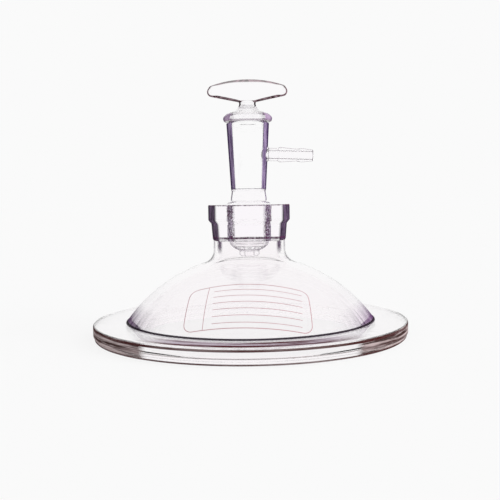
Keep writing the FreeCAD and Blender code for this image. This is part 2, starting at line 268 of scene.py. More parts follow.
def foot_angle(radius):
    """Where a circle about the cap's centre passes the flange's top, in degrees above level."""
    return math.degrees(math.asin((RIM_HEIGHT - cap_centre[1]) / radius))


inner_cap = CAP_RADIUS - DOME_WALL
inner_flare = FLARE_RADIUS + DOME_WALL
neck_bore = NECK_RADIUS - DOME_WALL
inner_foot = inner_cap * math.cos(math.radians(foot_angle(inner_cap)))
print("dome centre at", cap_centre.round(2), "flare meets it at", round(flare_angle, 1), "degrees")

# %% The lid's outline
MOUTH_RADIUS = 75.0
MOUTH_SLOPE = 5.0      # height where the mouth starts to widen towards the dome
MOUTH_BEVEL = 0.8
SKIRT_SETBACK = 0.9    # the rim's lower edge is ground back by this much
SKIRT_HEIGHT = 2.4
SKIRT_BEVEL = 0.5
FOOT_FILLET = 1.5
LEDGE = 63.8           # underside of the socket's thick wall, where the ground bore ends
WAIST_TOP = 74.2
WAIST_RADIUS = 24.6
WAIST_TOP_RADIUS = 25.4
COLLAR_BASE = 76.6
JOINT_RADIUS = 14.6    # of the ground bore, at the collar's top
JOINT_MOUTH = 0.6
TAPER = 20.0           # millimetres of height for each millimetre of radius
COLUMNS = 256


def joint_at(height):
    """Radius of the ground joint, which narrows by 1 in 20 on its way down."""
    return JOINT_RADIUS - (COLLAR_TOP - height) / TAPER


flange_corners = [
    (inner_foot, RIM_HEIGHT, 0.0),
    (MOUTH_RADIUS, MOUTH_SLOPE, 3.0),
    (MOUTH_RADIUS, MOUTH_BEVEL, 0.3),
    (MOUTH_RADIUS + MOUTH_BEVEL, 0.0, 0.25),
    (RIM_RADIUS - SKIRT_SETBACK - SKIRT_BEVEL, 0.0, 0.25),
    (RIM_RADIUS - SKIRT_SETBACK, SKIRT_BEVEL, 0.25),
    (RIM_RADIUS - SKIRT_SETBACK, SKIRT_HEIGHT, 0.3),
    (RIM_RADIUS, SKIRT_HEIGHT + SKIRT_BEVEL, 0.4),
    (RIM_RADIUS, RIM_HEIGHT, 1.2),
]
dome_corners = [
    (FOOT_RADIUS, RIM_HEIGHT, FOOT_FILLET),
    *arc(cap_centre, CAP_RADIUS, foot_angle(CAP_RADIUS), flare_angle)[1:],
]
flare_corners = arc(flare_centre, FLARE_RADIUS, flare_angle + 180, 180, FLARE_STEP)
socket_corners = [
    (NECK_RADIUS, LEDGE - 0.6, 1.0),
    (WAIST_RADIUS, LEDGE + 0.2, 0.6),
    (WAIST_TOP_RADIUS, WAIST_TOP, 1.2),
    (COLLAR_RADIUS, COLLAR_BASE, 1.0),
    (COLLAR_RADIUS, COLLAR_TOP, 0.8),
    (joint_at(COLLAR_TOP) + JOINT_MOUTH, COLLAR_TOP, 0.2),
    (joint_at(COLLAR_TOP - JOINT_MOUTH), COLLAR_TOP - JOINT_MOUTH, 0.2),
    (joint_at(LEDGE), LEDGE, 1.2),
    (neck_bore, LEDGE, 1.2),
]
inner_corners = [
    *arc(flare_centre, inner_flare, 180, flare_angle + 180, FLARE_STEP),
    *arc(cap_centre, inner_cap, flare_angle, foot_angle(inner_cap))[1:-1],
]
lid_profile = outline(flange_corners + dome_corners + flare_corners[1:] + socket_corners + inner_corners)
print("lid profile:", len(lid_profile), "points")

# %% The lid's glass
lid_glass = grid_piece("lid_glass", turned(lid_profile, COLUMNS), closed=True)
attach(lid_glass, "lid")
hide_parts("lid_flange", "lid_dome", "neck_socket")

# %% [markdown]
# ## The valve
# The valve starts as a tube that is drawn in below to a short tip, ground outside to fit the socket,
# and opened above into a barrel that is ground inside to hold the plug. Like the lid it is one
# outline, carried round its axis: up the outside and down the bore.

# %% The valve's outline
GREASE_GAP = 0.05
CONE_END = 60.6
CONE_SHOULDER = 88.3
CONE_FLOOR = 60.2
CONE_BORE = 10.0
TIP_BORE = 3.0
TIP_RADIUS = 6.7
TIP_TOP = TIP_END + 4.8
TUBE_RADIUS = 12.0
TUBE_WAIST = 95.4
SEAT_RADIUS = 12.65    # of the ground seat, at the barrel's top
BARREL_FOOT_RADIUS = 11.8
VALVE_COLUMNS = 192


def seat_at(height):
    """Radius of the ground seat that holds the plug, on the same slope as the joint."""
    return SEAT_RADIUS - (BARREL_TOP - height) / TAPER


def cone_at(height):
    """Radius of the ground cone: the socket's bore less the film of grease."""
    return joint_at(height) - GREASE_GAP


valve_corners = [
    (TIP_BORE, TIP_END, 0.5),
    (TIP_RADIUS, TIP_END, 2.2),
    (TIP_RADIUS, TIP_TOP, 1.2),
    (cone_at(CONE_END) - 3.2, TIP_TOP + 1.4, 4.0),
    (cone_at(CONE_END), CONE_END, 2.4),
    (cone_at(COLLAR_TOP - 0.3), COLLAR_TOP - 0.3, 0.0),
    (cone_at(CONE_SHOULDER), CONE_SHOULDER, 1.0),
    (TUBE_RADIUS, CONE_SHOULDER + 0.7, 0.4),
    (TUBE_RADIUS, TUBE_SEAM, 2.0),
    (TUBE_RADIUS - 0.7, TUBE_WAIST, 1.0),
    (BARREL_FOOT_RADIUS, PLUG_BASE, 0.8),
    (BARREL_RADIUS, BARREL_TOP, 0.5),
    (seat_at(BARREL_TOP), BARREL_TOP, 0.4),
    (seat_at(PLUG_BASE), PLUG_BASE, 0.4),
    (CONE_BORE - 0.4, TUBE_WAIST, 1.0),
    (CONE_BORE, TUBE_SEAM, 2.0),
    (CONE_BORE, COLLAR_TOP, 0.0),
    (CONE_BORE, CONE_FLOOR, 2.6),
    (TIP_BORE, CONE_FLOOR - 2.0, 1.0),
]
valve_glass = grid_piece("valve_glass", turned(outline(valve_corners), VALVE_COLUMNS), closed=True)

# %% [markdown]
# ## The nipple
# A thinner tube with two soft barbs that grip a hose. It was sealed on by hand, so it droops a
# little. It is turned round its own axis, cut off inside the barrel's wall and united with it, and
# then the gas way is drilled through both, as a glassblower opens a side arm.

# %% The nipple
NIPPLE_HEIGHT = 120.6  # where its axis crosses the valve's
NIPPLE_DROOP = 2.2     # degrees below level
NIPPLE_BORE = 2.45
NIPPLE_END = 43.4
GAS_START = 8.0        # the drill starts this far from the valve's axis, inside the plug's seat
CORE_BASE, CORE_TOP = 100.0, 138.0
CORE_DEPTH = 0.7       # the nipple starts this deep in the barrel's wall


def along_nipple(profile, columns):
    """A grid turned round the nipple's own axis: (distance out, radius) goes round an axis that leaves
    the valve's axis at the nipple's height and falls by its droop."""
    turn = np.linspace(0, 2 * math.pi, columns, endpoint=False)
    out, radius = profile[:, :1], profile[:, 1:]
    droop = math.radians(NIPPLE_DROOP)
    side, lift = radius * np.cos(turn), radius * np.sin(turn)
    return np.stack([
        out * math.cos(droop) + lift * math.sin(droop),
        side,
        NIPPLE_HEIGHT - out * math.sin(droop) + lift * math.cos(droop),
    ], axis=-1)


nipple_corners = [
    (9.0, ON_AXIS, 0.0),
    (9.0, 5.8, 0.0),
    (13.0, 5.6, 0.0),      # the bead of glass at the root
    (13.6, 4.3, 0.5),
    (20.0, 4.3, 0.5),
    (21.2, 5.05, 0.8),     # the first barb
    (32.6, 4.05, 2.0),
    (35.8, 4.65, 2.6),     # the second barb
    (NIPPLE_END, 3.8, 0.4),
    (NIPPLE_END, ON_AXIS, 0.0),
]
core_corners = [
    (ON_AXIS, CORE_BASE, 0.0),
    (seat_at(CORE_BASE) + CORE_DEPTH, CORE_BASE, 0.0),
    (seat_at(CORE_TOP) + CORE_DEPTH, CORE_TOP, 0.0),
    (ON_AXIS, CORE_TOP, 0.0),
]
gas_way_corners = [
    (GAS_START, ON_AXIS, 0.0),
    (GAS_START, NIPPLE_BORE, 0.0),
    (NIPPLE_END - 0.5, NIPPLE_BORE, 0.4),
    (NIPPLE_END + 0.5, NIPPLE_BORE + 0.9, 0.0),
    (NIPPLE_END + 0.5, ON_AXIS, 0.0),
]
nipple = grid_piece("nipple", along_nipple(outline(nipple_corners, closed=False), 96))
wall_core = grid_piece("wall_core", turned(outline(core_corners, closed=False), VALVE_COLUMNS))
join_glass(nipple, wall_core, "DIFFERENCE")
join_glass(valve_glass, nipple, "UNION")
drill = grid_piece("drill", along_nipple(outline(gas_way_corners, closed=False), 96))
join_glass(valve_glass, drill, "DIFFERENCE")
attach(valve_glass, "valve")
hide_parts("joint_cone", "valve_barrel", "hose_nipple")

# %% [markdown]
# ## The plug
# The plug is hollow, ground outside and closed above by a bulged shoulder. Its solid stem is pressed
# flat at the top into the paddle that fingers turn. A stack of flattened rings makes the whole of it:
# each ring is a superellipse, where |x / a| to the power p plus |y / b| to the power p is one. With
# p = 2 and a = b it is the round cone; with a wide a and a higher p it is a slice of the paddle.

# %% The plug's rings
SHOULDER_BASE = 141.7
PLUG_BORE_TOP = 10.9
PLUG_BORE_BASE = 9.2
PLUG_ROOF = 147.4      # top of the hollow
STEM_RADIUS = 5.5
STEM_DARK_FROM = 151.6 # height, in the round below its seam, at which the stem's dark edges start
PADDLE_END = 25.0      # where the paddle's ends start to round off
PADDLE_TOP_END = 165.4
PADDLE_FROM = 157.0    # height at which the stem has wholly turned into the paddle
PADDLE_POWER = 3.2
CROWN_FROM = 163.4     # height at which the paddle's faces start to close
CROWN_POWER = 2.4
SWELL_FROM, SWELL_TO = 155.0, 162.0

round_corners = [
    (ON_AXIS, PLUG_ROOF, 0.0),
    (8.0, PLUG_ROOF, 6.0),
    (13.0, 146.0, 1.5),
    (14.0, 143.6, 1.2),
    (PLUG_BORE_TOP, 140.5, 3.0),
    (PLUG_BORE_BASE, PLUG_BASE, 0.4),
    (seat_at(PLUG_BASE) - GREASE_GAP, PLUG_BASE, 0.4),
    (seat_at(SHOULDER_BASE) - GREASE_GAP, SHOULDER_BASE, 0.4),
    (SHOULDER_RADIUS - 1.2, SHOULDER_BASE, 1.2),
    (SHOULDER_RADIUS, SHOULDER_BASE + 2.7, 2.2),
    (13.8, 147.2, 3.0),
    (8.3, 149.0, 3.0),
    (6.0, STEM_SEAM, 1.5),
    (STEM_RADIUS, STEM_SEAM + 1.0, 1.5),
]
crown_drop = HANDLE_TOP - PADDLE_TOP_END
crown_radius = (PADDLE_END**2 + crown_drop**2) / (2 * crown_drop)
crown_centre = (0.0, HANDLE_TOP - crown_radius)
crown_start = math.degrees(math.acos(PADDLE_END / crown_radius))
paddle_corners = [
    (STEM_RADIUS, 155.1, 1.2),
    (PADDLE_END + 1.0, 159.2, 2.6),
    (HANDLE_HALF, 162.2, 3.0),
    (PADDLE_END, PADDLE_TOP_END, 2.0),
    *arc(crown_centre, crown_radius, crown_start + 2, 89.9),
]
plug_profile = outline(round_corners + paddle_corners, closed=False)


def ease(value, start, end):
    """0 before start, 1 after end, and the curve 3t² - 2t³ between them."""
    share = np.clip((value - start) / (end - start), 0, 1)
    return share * share * (3 - 2 * share)


def plug_grid(profile, columns):
    """Rings of the plug. Below the stem's top they are circles. Above it the half depth falls to that of
    the paddle and the power rises to 3.2, and near the crown the depth closes as a quarter of an oval does.
    A swelling exp(-(x / stem)²) carries the round stem up into the paddle's faces."""
    turn = np.linspace(0, 2 * math.pi, columns, endpoint=False) + math.pi / columns
    outside = np.arange(len(profile)) > np.argmax(profile[:, 1] > STEM_SEAM + 1.2)
    width, height = profile[:, :1], profile[:, 1:]
    flat = ease(height, STEM_SEAM + 1.5, PADDLE_FROM) * outside[:, None]
    power = 2.0 + (PADDLE_POWER - 2.0) * flat
    climb = np.clip((height - CROWN_FROM) / (HANDLE_TOP - CROWN_FROM), 0, 1)
    slim = np.sqrt(np.clip(1 - climb**CROWN_POWER, 0, 1))
    depth = width + (HANDLE_HALF_DEPTH * slim - width) * flat
    x = width * np.sign(np.cos(turn)) * np.abs(np.cos(turn)) ** (2 / power)
    swell = (STEM_RADIUS - HANDLE_HALF_DEPTH) * flat * (1 - ease(height, SWELL_FROM, SWELL_TO))
    depth = depth + swell * np.exp(-(x / STEM_RADIUS) ** 2)
    y = depth * np.sign(np.sin(turn)) * np.abs(np.sin(turn)) ** (2 / power)
    return np.stack([x, y, height + 0 * turn], axis=-1)


plug_glass = grid_piece("plug_glass", plug_grid(plug_profile, 192))

# %% [markdown]
# ## The plug's port
# A hole in the plug's wall faces the nipple when the valve is open. The hollow plug is open below,
# so gas goes up through the cone and out through this port. It is drilled along the nipple's axis.

# %% The plug's port
PORT_RADIUS = 3.0
PORT_END = 12.6

port_corners = [
    (GAS_START, ON_AXIS, 0.0),
    (GAS_START, PORT_RADIUS, 0.0),
    (PORT_END, PORT_RADIUS, 0.0),
    (PORT_END, ON_AXIS, 0.0),
]
port = grid_piece("port", along_nipple(outline(port_corners, closed=False), 64))
join_glass(plug_glass, port, "DIFFERENCE")
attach(plug_glass, "plug")
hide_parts("plug_cone", "plug_handle")

# %% [markdown]
# ## The writing panel
# Lab glass often has a fired enamel panel to write on. This one is a rounded frame with ruled lines,
# screened in thin dusty rose. It is real geometry, a film a twentieth of a millimetre thick that
# follows the dome: a flat design is laid on the ball by adding its x and y to the outward direction
# at the panel's middle and scaling the sum back to the ball's radius.

# %% Laying a line on the dome
PANEL_TILT = 40.0      # degrees down from the dome's top to the panel's middle, seen from the ball's centre
PANEL_TURN = -2.3      # degrees
PANEL_SHIFT = -1.5
ENAMEL = 0.05          # height of the film's face above the glass
ENAMEL_FOOT = 0.01     # and of its underside
POINT_SPACING = 1.0


def on_dome(flat, lift):
    """Flat points (across, up) of the panel laid on the dome, lift millimetres above the glass."""
    tilt, turn = math.radians(PANEL_TILT), math.radians(PANEL_TURN)
    across = (flat[:, 0] * math.cos(turn) - flat[:, 1] * math.sin(turn) + PANEL_SHIFT) / CAP_RADIUS
    up = (flat[:, 0] * math.sin(turn) + flat[:, 1] * math.cos(turn)) / CAP_RADIUS
    out = np.array([0, -math.sin(tilt), math.cos(tilt)])
    rise = np.array([0, math.cos(tilt), math.sin(tilt)])
    way = out + across[:, None] * np.array([1.0, 0, 0]) + up[:, None] * rise
    way = way / np.linalg.norm(way, axis=1, keepdims=True)
    return np.array([0, 0, cap_centre[1]]) + way * (CAP_RADIUS + lift)


def evenly(path, closed):
    """The path with its points set evenly along it."""
    run = np.vstack([path, path[:1]]) if closed else path
    length = np.concatenate([[0], np.cumsum(np.linalg.norm(np.diff(run, axis=0), axis=1))])
    wanted = np.linspace(0, length[-1], round(length[-1] / POINT_SPACING), endpoint=not closed)
    return np.column_stack([np.interp(wanted, length, run[:, 0]), np.interp(wanted, length, run[:, 1])])


def ribbon(path, width, closed):
    """A printed line along a flat path, as a row of rings with two corners by the glass and two above."""
    path = evenly(path, closed)
    ahead = np.roll(path, -1, axis=0) - np.roll(path, 1, axis=0)
    if not closed:
        ahead[0], ahead[-1] = path[1] - path[0], path[-1] - path[-2]
    side = np.column_stack([-ahead[:, 1], ahead[:, 0]]) / np.linalg.norm(ahead, axis=1, keepdims=True)
    left, right = path + side * width / 2, path - side * width / 2
    around = [(left, ENAMEL_FOOT), (right, ENAMEL_FOOT), (right, ENAMEL), (left, ENAMEL)]
    ring = [on_dome(line, lift) for line, lift in around]
    return grid_mesh("printed_line", np.stack(ring, axis=1), closed)


def merged(name, meshes):
    """One mesh that holds several, for parts of a piece that don't touch."""
    points, faces = [], []
    for mesh in meshes:
        start = len(points)
        points += [tuple(vertex.co) for vertex in mesh.vertices]
        faces += [[start + index for index in face.vertices] for face in mesh.polygons]
    whole = bpy.data.meshes.new(name)
    whole.from_pydata(points, [], faces)
    return whole


print("the panel's middle is", PANEL_TILT, "degrees down from the dome's top")

# %% The frame and its ruled lines
PANEL_TOP, PANEL_FOOT, PANEL_HEIGHT, PANEL_ROUNDING = 77.0, 83.0, 35.0, 6.0
FRAME_LINE, RULED_LINE = 0.5, 0.36
DIVIDER_TOP, DIVIDER_FOOT = -25.0, -27.5
RULE_LEFT, RULE_RIGHT = -21.5, 34.0
RULE_TOP, RULE_END, RULE_STEP = 12.5, -14.0, 5.2

half_height = PANEL_HEIGHT / 2
frame_corners = [
    (PANEL_FOOT / 2, -half_height, PANEL_ROUNDING),
    (PANEL_TOP / 2, half_height, PANEL_ROUNDING),
    (-PANEL_TOP / 2, half_height, PANEL_ROUNDING),
    (-PANEL_FOOT / 2, -half_height, PANEL_ROUNDING),
]
strokes = [[(DIVIDER_TOP, half_height), (DIVIDER_FOOT, -half_height)]]
strokes += [[(RULE_LEFT, up), (RULE_RIGHT, up)] for up in np.arange(RULE_TOP, RULE_END, -RULE_STEP)]
printed = [ribbon(outline(frame_corners), FRAME_LINE, closed=True)]
printed += [ribbon(np.array(stroke), RULED_LINE, closed=False) for stroke in strokes]
print_panel = new_piece("print_panel", merged("print_panel", printed))
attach(print_panel, "lid")

# %% [markdown]
# ## Nodes
# Colours are written as the hex values that a screen shows and turned into the linear numbers that
# light needs. One function adds a node, sets it up and links it.

# %% Colour and node helpers
def linear(shown):
    """A colour such as #ffffff in linear light: c / 12.92 for dark channels, and for the others
    ((c + 0.055) / 1.055) to the power 2.4."""
    channels = [int(shown[place:place + 2], 16) / 255 for place in (1, 3, 5)]
    return (*[c / 12.92 if c <= 0.04045 else ((c + 0.055) / 1.055) ** 2.4 for c in channels], 1.0)


def add(tree, kind, inputs=None, **settings):
    """A new node of a kind. Inputs maps a socket's name or number to a value or to another node's output."""
    node = tree.nodes.new(f"ShaderNode{kind}")
    for name, value in settings.items():
        setattr(node, name, value)
    for socket, value in (inputs or {}).items():
        if isinstance(value, bpy.types.NodeSocket):
            tree.links.new(value, node.inputs[socket])
        else:
            node.inputs[socket].default_value = value
    return node


def new_material(name):
    """An empty material and its node tree."""
    material = bpy.data.materials.new(name)
    material.use_nodes = True
    material.node_tree.nodes.clear()
    return material, material.node_tree


print("white paper is", tuple(round(c, 3) for c in linear("#fafafa")[:3]))

# %% [markdown]
# ## Shares
# A finish is built from shares, numbers from 0 to 1 that say how much of something is at a point:
# how far it lies within a band of height, how dark its edge is, how strongly a line is drawn.

# %% Shares
def product(tree, *shares):
    """All the shares multiplied."""
    whole = shares[0]
    for share in shares[1:]:
        whole = add(tree, "Math", {0: whole, 1: share}, operation="MULTIPLY").outputs[0]
    return whole


def either(tree, *shares):
    """The largest of the shares."""
    whole = shares[0]
    for share in shares[1:]:
        whole = add(tree, "Math", {0: whole, 1: share}, operation="MAXIMUM").outputs[0]
    return whole


def rest_of(tree, share):
    """1 less the share."""
    return add(tree, "Math", {0: 1.0, 1: share}, operation="SUBTRACT").outputs[0]


def least(tree, share, floor):
    """A share of 0 to 1 lifted to run from a floor to 1."""
    return add(tree, "MapRange", {0: share, 3: floor, 4: 1.0}).outputs[0]


print("a share of 0.5, lifted to run from 0.2 to 1, is", round(0.2 + 0.8 * 0.5, 2))

# %% Bands and lines
LINE_SOFTNESS = 0.25  # millimetres over which a drawn line fades out


def climbing(tree, value, start, full):
    """A share that climbs smoothly from 0 at start to 1 at full."""
    climb = add(tree, "MapRange", {0: value, 1: start, 2: full}, interpolation_type="SMOOTHSTEP")
    return climb.outputs[0]


def between(tree, value, low, high, soft):
    """1 where the value lies between low and high, falling to 0 over a soft edge outside them."""
    ends = {0: value, 1: high, 2: high + soft, 3: 1.0, 4: 0.0}
    fall = add(tree, "MapRange", ends, interpolation_type="SMOOTHSTEP")
    return product(tree, climbing(tree, value, low - soft, low), fall.outputs[0])


def band(tree, angle, reach):
    """The share over a reach of angles: (start, full), or (start, full, last) for a band that ends again."""
    if len(reach) == 3:
        start, full, last = reach
        return between(tree, angle, full, last, full - start)
    return climbing(tree, angle, *reach)


def lines_at(tree, spot, lines):
    """The share of painted shade lines at arrises and roundings, each given as (low, high, near, far, share):
    its heights, its distances from the axis, and how strong it is."""
    shares = []
    for low, high, near, far, most in lines:
        within = between(tree, spot.height, low, high, LINE_SOFTNESS)
        shares.append(product(tree, within, between(tree, spot.radius, near, far, LINE_SOFTNESS), most))
    return either(tree, *shares) if shares else 0.0


print("drawn lines fade out over", LINE_SOFTNESS, "mm")

# %% [markdown]
# ## Where on the glass
# Clear glass has no colour of its own to speak of; the eye finds its shape by the dark lines at its
# edges. There light is mirrored inside the wall, or bent so far that it comes from the dark sides of
# the room. A white surround has no dark sides, so the material darkens the glass by the angle at
# which it is met, which Layer Weight gives as 1 - cos. From inside the glass a face mirrors light
# past about 43 degrees; from outside a rounded edge turns dark past about 53. On turned forms that
# angle is taken sideways only, so an edge keeps its width when it is seen from higher up.

# %% Where on the glass
def place_on_glass(tree):
    """Radius and height in millimetres, the direction away from the axis, and the point itself."""
    place = add(tree, "TexCoord").outputs["Object"]
    point = add(tree, "VectorMath", {0: place, "Scale": 1 / MM}, operation="SCALE").outputs[0]
    flat = add(tree, "VectorMath", {0: point, 1: (1, 1, 0)}, operation="MULTIPLY").outputs[0]
    return SimpleNamespace(
        point=point,
        radius=add(tree, "VectorMath", {0: flat}, operation="LENGTH").outputs["Value"],
        height=add(tree, "SeparateXYZ", {0: point}).outputs["Z"],
        outward=add(tree, "VectorMath", {0: flat}, operation="NORMALIZE").outputs[0],
    )


print("1 - cos of 43 and of 53 degrees:", [round(1 - math.cos(math.radians(angle)), 2) for angle in (43, 53)])

# %% The angle of view
STEEPEST = 0.1           # least level part of the view that the sideways angle is worked out from
UPRIGHT = (0.5, 0.75)    # level part of a face's normal: lying below the first, upright above the second


def level_angle(tree, outward):
    """1 - cos of the angle off square, seen from straight above. That cos is |view . outward| divided by
    sqrt(1 - (view . up)²), and Layer Weight with a direction as its normal says 1 - |view . direction|.
    The second result is that for up: 1 for a level view and 0 for one from straight above."""
    turned_out = {"vector_type": "NORMAL", "convert_from": "OBJECT", "convert_to": "WORLD"}
    away = add(tree, "VectorTransform", {0: outward}, **turned_out).outputs[0]
    up = add(tree, "CombineXYZ", {"Z": 1.0}).outputs[0]
    sideways, rise = (
        add(tree, "LayerWeight", {"Blend": 0.5, "Normal": way}).outputs["Facing"] for way in (away, up)
    )
    less = add(tree, "Math", {0: 2.0, 1: rise}, operation="SUBTRACT").outputs[0]
    length = add(tree, "Math", {0: product(tree, rise, less)}, operation="SQRT").outputs[0]
    length = either(tree, length, STEEPEST)
    cosine = add(tree, "Math", {0: rest_of(tree, sideways), 1: length}, operation="DIVIDE").outputs[0]
    return rest_of(tree, cosine), rise


def upright_share(tree, normal):
    """1 on a face that stands up and 0 on one that lies flat."""
    level = add(tree, "VectorMath", {0: normal, 1: (1, 1, 0)}, operation="MULTIPLY").outputs[0]
    level = add(tree, "VectorMath", {0: level}, operation="LENGTH").outputs["Value"]
    return add(tree, "MapRange", {0: level, 1: UPRIGHT[0], 2: UPRIGHT[1]}).outputs[0]


print("lying flat: tilted back more than", round(math.degrees(math.acos(UPRIGHT[0]))), "degrees from upright")

# %% Waves and streaks
RIPPLE_SCALE = 0.16      # per millimetre: fire-finished glass has soft waves about 6 mm long
RIPPLE_DEPTH = 0.00002   # metres
STREAKS = (0.40, 0.58)   # noise below the first is a pale streak, above the second a dark one


def spot_on_glass(tree, look):
    """What a finish asks about a point: where it is, its waved normal, whether it is seen from inside the
    glass (back), the true angle off square, the angle that the look goes by (facing), and whether it
    stands upright."""
    spot = place_on_glass(tree)
    ripple = add(tree, "TexNoise", {"Vector": spot.point, "Scale": RIPPLE_SCALE, "Detail": 2.0}).outputs[0]
    bump = add(tree, "Bump", {"Height": ripple, "Strength": 1.0, "Distance": RIPPLE_DEPTH})
    spot.waves = bump.outputs[0]
    spot.true = add(tree, "LayerWeight", {"Blend": 0.5, "Normal": spot.waves}).outputs["Facing"]
    spot.facing, spot.upright = spot.true, 1.0
    surface = add(tree, "NewGeometry")
    spot.back = surface.outputs["Backfacing"]
    if look.level:
        spot.facing, spot.rise = level_angle(tree, spot.outward)
    if look.level and not look.flat:
        spot.upright = upright_share(tree, surface.outputs["Normal"])
    return spot


def streaks(tree, outward, way, around, along):
    """Streaks that break up the painted shade, as drawn glass breaks up its dark edges: 0 on pale ones and 1
    on dark ones, from noise that is stretched to a spacing in radians round the axis and one in millimetres
    up the wall."""
    place = add(tree, "VectorMath", {0: outward, "Scale": 1 / around}, operation="SCALE").outputs[0]
    along_wall = add(tree, "Math", {0: way, 1: along}, operation="DIVIDE").outputs[0]
    rise = add(tree, "CombineXYZ", {"Z": along_wall}).outputs[0]
    place = add(tree, "VectorMath", {0: place, 1: rise}, operation="ADD").outputs[0]
    speck = add(tree, "TexNoise", {"Vector": place, "Scale": 1.0, "Detail": 3.0, "Roughness": 0.7})
    return add(tree, "MapRange", {0: speck.outputs[0], 1: STREAKS[0], 2: STREAKS[1]}).outputs[0]


print("waves", round(1 / RIPPLE_SCALE, 1), "mm long")

# %% [markdown]
# ## Borosilicate glass
# The glass is a clear Principled shader with the refractive index of borosilicate, and mixed over it
# is a diffuse share of painted shade for its dark edges. It stands in for the dark that glass shows where
# light is mirrored inside the wall or bent in from the sides of the room, and it comes with pale streaks,
# dark lines at arrises and roundings, and stripes where a bore's edge shows. The film of grease in a
# ground taper joins both glasses, so there the bend is taken out. The dictionary says what a finish can
# set, and each finish below gives only what is its own.

# %% What a finish can set
# Apart from the tint, these colours are painted shade: the dark edges, their pale streaks, and the dark lines
# at arrises and roundings.
PLAIN_GLASS = {
    "tint": "#fffeff",          # the glass itself
    "dark": "#957ca1",          # its dark edges
    "pale": None,               # their pale streaks, where they differ
    "inside": (0.22, 0.28),     # band of 1 - cos over which an edge turns dark, seen from inside the glass
    "outside": (0.40, 0.50),    # the same, seen from outside
    "strength": (0.97, 0.97),   # how dark each of the two gets
    "level": False,             # take the angle sideways, and leave out faces that lie flat
    "flat": False,              # with level, keep the faces that lie flat
    "low": None,                # band over which dark comes in as the view goes from above, 0, to level, 1
    "steep": None,              # band of the true 1 - cos outside which nothing turns dark
    "ring": None,               # (near, far): the distances from the axis between which it is dark
    "fade": None,               # (height, height, share, share): how the dark changes on the way up
    "grain": None,              # streaks: (spacing round, spacing up, share of the dark left on a pale one)
    "limb": None,               # range of 1 - cos over which the colour goes from pale to dark
    "ink": "#3a2c3c",           # drawn lines
    "lines": (),                # the lines drawn on near faces
    "behind": (),               # the lines drawn on faces seen through the glass
    "bore_edge": None,          # (start, full, last, share): mottled band where the edge of the bore shows
    "broken": 1.0,              # what a pale streak leaves of lines, behind and bore_edge
    "tapers": (),               # ground and greased seats: (low, high, radius at height 0, growth of radius)
}
print("a finish can set:", ", ".join(PLAIN_GLASS))

# %% How dark it is
FILM_REACH = 0.4        # how far off its taper a greased face may lie
FILM_SOFTNESS = 0.01
RING_SOFTNESS = 2.0
MOTTLE = (0.05, 1.6)    # spacing of the ground bore's mottle, in radians round and millimetres up


def film(tree, spot, taper):
    """1 on a greased taper."""
    low, high, foot, slope = taper
    line = add(tree, "Math", {0: spot.height, 1: slope, 2: foot}, operation="MULTIPLY_ADD").outputs[0]
    off = add(tree, "Math", {0: spot.radius, 1: line}, operation="SUBTRACT").outputs[0]
    touching = between(tree, off, -FILM_REACH, FILM_REACH, FILM_SOFTNESS)
    return product(tree, touching, between(tree, spot.height, low, high, FILM_SOFTNESS))


def edge_share(tree, spot, look):
    """How dark the edge is painted here: the band of its angle times each limit that the look sets."""
    within, without = (
        product(tree, band(tree, spot.facing, reach), most)
        for reach, most in zip((look.inside, look.outside), look.strength)
    )
    share = add(tree, "Mix", {0: spot.back, 2: without, 3: within}).outputs[0]
    share = product(tree, share, spot.upright)
    if look.low:
        share = product(tree, share, band(tree, spot.rise, look.low))
    if look.steep:
        share = product(tree, share, band(tree, spot.true, look.steep))
    if look.ring:
        share = product(tree, share, between(tree, spot.radius, *look.ring, RING_SOFTNESS))
    if look.fade:
        faded = add(tree, "MapRange", dict(enumerate((spot.height, *look.fade)))).outputs[0]
        share = product(tree, share, faded)
    return share


def streak_share(tree, spot, look):
    """0 where the painted shade takes its pale colour and 1 where it takes its dark one, by streaks and at
    the limb.
    """
    speck = 1.0
    if look.grain:
        way = add(tree, "Math", {0: spot.height, 1: spot.radius}, operation="ADD").outputs[0]
        speck = streaks(tree, spot.outward, way, *look.grain[:2])
    if look.limb:
        edge = add(tree, "MapRange", {0: spot.facing, 1: look.limb[0], 2: look.limb[1]}).outputs[0]
        speck = either(tree, speck, edge) if look.grain else edge
    return speck


def drawn_share(tree, spot, look, speck):
    """How strongly a painted shade line or the bore's edge shows here, broken up by the pale streaks."""
    near, far = lines_at(tree, spot, look.lines), lines_at(tree, spot, look.behind)
    if look.bore_edge:
        mottle = streaks(tree, spot.outward, spot.height, *MOTTLE)
        edge = band(tree, spot.facing, look.bore_edge[:3])
        near = either(tree, near, product(tree, edge, mottle, look.bore_edge[3], spot.upright))
    drawn = add(tree, "Mix", {0: spot.back, 2: near, 3: far}).outputs[0]
    return product(tree, drawn, least(tree, speck, look.broken))


print("the bore's mottle is", round(MOTTLE[0] * JOINT_RADIUS, 2), "by", MOTTLE[1], "mm")

# %% Clear glass
GLASS_IOR = 1.47
GREASED_IOR = 1.001     # as good as none: light passes straight through the film


def blend(tree, share, first, second):
    """The first colour where the share is 0 and the second where it is 1."""
    return add(tree, "Mix", {0: share, 6: first, 7: second}, data_type="RGBA").outputs[2]


